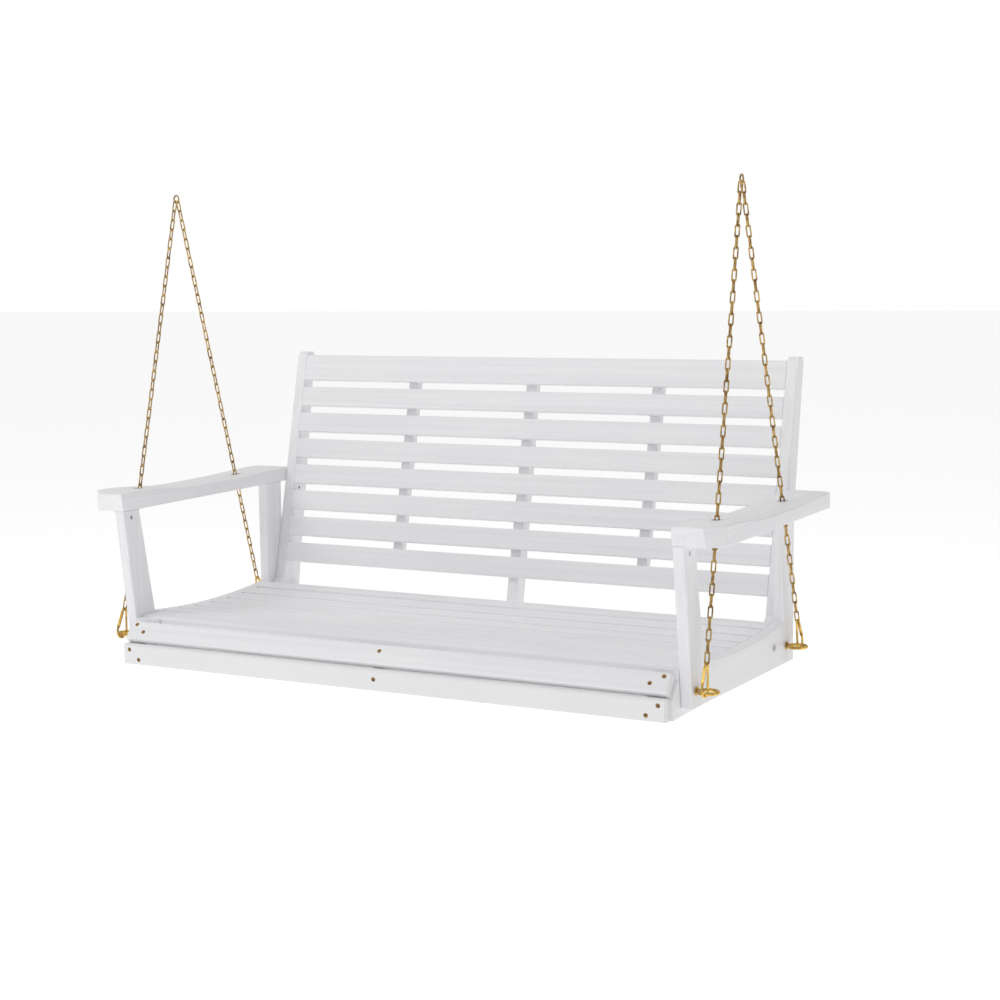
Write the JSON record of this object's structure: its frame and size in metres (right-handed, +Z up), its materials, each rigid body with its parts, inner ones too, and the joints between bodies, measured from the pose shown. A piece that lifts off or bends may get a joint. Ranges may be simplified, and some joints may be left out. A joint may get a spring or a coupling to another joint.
{
  "type": "porch swing",
  "caption": "Wooden porch swing with a slatted leaning back, a dished slatted seat, wide armrests and gold chain legs on eye bolts and snap hooks.",
  "frame": {"origin": "the swing axis, halfway between the two rings that hang from the ceiling hooks", "axes": "+X to the right seen from the front, +Y from front to back, +Z up"},
  "size_m": [1.2636, 0.6604, 0.8764],
  "materials": {
    "white_wood": "white satin paint on hardwood",
    "bare_wood": "unpainted hidden dowels",
    "screw_metal": "dull brass",
    "plated_steel": "zinc plated",
    "gold_hardware": "polished gold plating",
    "gold_chain": "gold plating with brown tone"
  },
  "bodies": {
    "ceiling_rings": {"hanging_rings": "gold_chain"},
    "bench": {"apron_board_lower": "white_wood", "apron_board_upper": "white_wood", "apron_screws": "screw_metal", "arm_bolts": "plated_steel", "arm_front_post_left": "white_wood", "arm_front_post_right": "white_wood", "arm_rear_post_left": "white_wood", "arm_rear_post_right": "white_wood", "arm_side_rail_left": "white_wood", "arm_side_rail_right": "white_wood", "armrest_left": "white_wood", "armrest_right": "white_wood", "back_post_left": "white_wood", "back_post_right": "white_wood", "back_screws": "screw_metal", "back_slat_1": "white_wood", "back_slat_2": "white_wood", "back_slat_3": "white_wood", "back_slat_4": "white_wood", "back_slat_5": "white_wood", "back_slat_6": "white_wood", "back_slat_7": "white_wood", "back_slat_8": "white_wood", "back_support_centre": "white_wood", "back_support_left": "white_wood", "back_support_right": "white_wood", "barrel_nuts": "plated_steel", "chain_front_left": "gold_chain", "chain_front_right": "gold_chain", "chain_rear_left": "gold_chain", "chain_rear_right": "gold_chain", "dowels": "bare_wood", "eye_bolt_front_left": "gold_hardware", "eye_bolt_front_right": "gold_hardware", "eye_bolt_rear_left": "gold_hardware", "eye_bolt_rear_right": "gold_hardware", "gate_pins": "gold_hardware", "hex_nuts": "plated_steel", "seat_rail_centre": "white_wood", "seat_rail_left": "white_wood", "seat_rail_right": "white_wood", "seat_slat_1": "white_wood", "seat_slat_2": "white_wood", "seat_slat_3": "white_wood", "seat_slat_4": "white_wood", "seat_slat_5": "white_wood", "seat_slat_6": "white_wood", "seat_slat_7": "white_wood", "seat_slat_8": "white_wood", "side_bolts": "plated_steel", "snap_hook_front_left": "gold_hardware", "snap_hook_front_right": "gold_hardware", "snap_hook_rear_left": "gold_hardware", "snap_hook_rear_right": "gold_hardware", "washers": "plated_steel"},
    "hook_gate_front_left": {"gate_front_left": "gold_hardware"},
    "hook_gate_front_right": {"gate_front_right": "gold_hardware"},
    "hook_gate_rear_left": {"gate_rear_left": "gold_hardware"},
    "hook_gate_rear_right": {"gate_rear_right": "gold_hardware"}
  },
  "joints": [
    {"name": "swing", "type": "hinge", "parent": "ceiling_rings", "child": "bench", "pos_m": [0, 0, 0], "axis": [1, 0, 0], "range_deg": [-20, 20]},
    {"name": "gate_front_left", "type": "hinge", "parent": "bench", "child": "hook_gate_front_left", "pos_m": [-0.59025, -0.19538, -0.78176], "axis": [0.9999, 0, -0.0171], "range_deg": [0, 25], "stiffness_Nm_per_rad": 0.05, "springref_deg": -22.92},
    {"name": "gate_front_right", "type": "hinge", "parent": "bench", "child": "hook_gate_front_right", "pos_m": [0.59025, -0.19538, -0.78176], "axis": [0.9999, 0, 0.0171], "range_deg": [0, 25], "stiffness_Nm_per_rad": 0.05, "springref_deg": -22.92},
    {"name": "gate_rear_left", "type": "hinge", "parent": "bench", "child": "hook_gate_rear_left", "pos_m": [-0.59027, 0.2668, -0.78829], "axis": [-0.9999, 0, 0.017], "range_deg": [0, 25], "stiffness_Nm_per_rad": 0.05, "springref_deg": -22.92},
    {"name": "gate_rear_right", "type": "hinge", "parent": "bench", "child": "hook_gate_rear_right", "pos_m": [0.59027, 0.2668, -0.78829], "axis": [-0.9999, 0, -0.017], "range_deg": [0, 25], "stiffness_Nm_per_rad": 0.05, "springref_deg": -22.92}
  ]
}
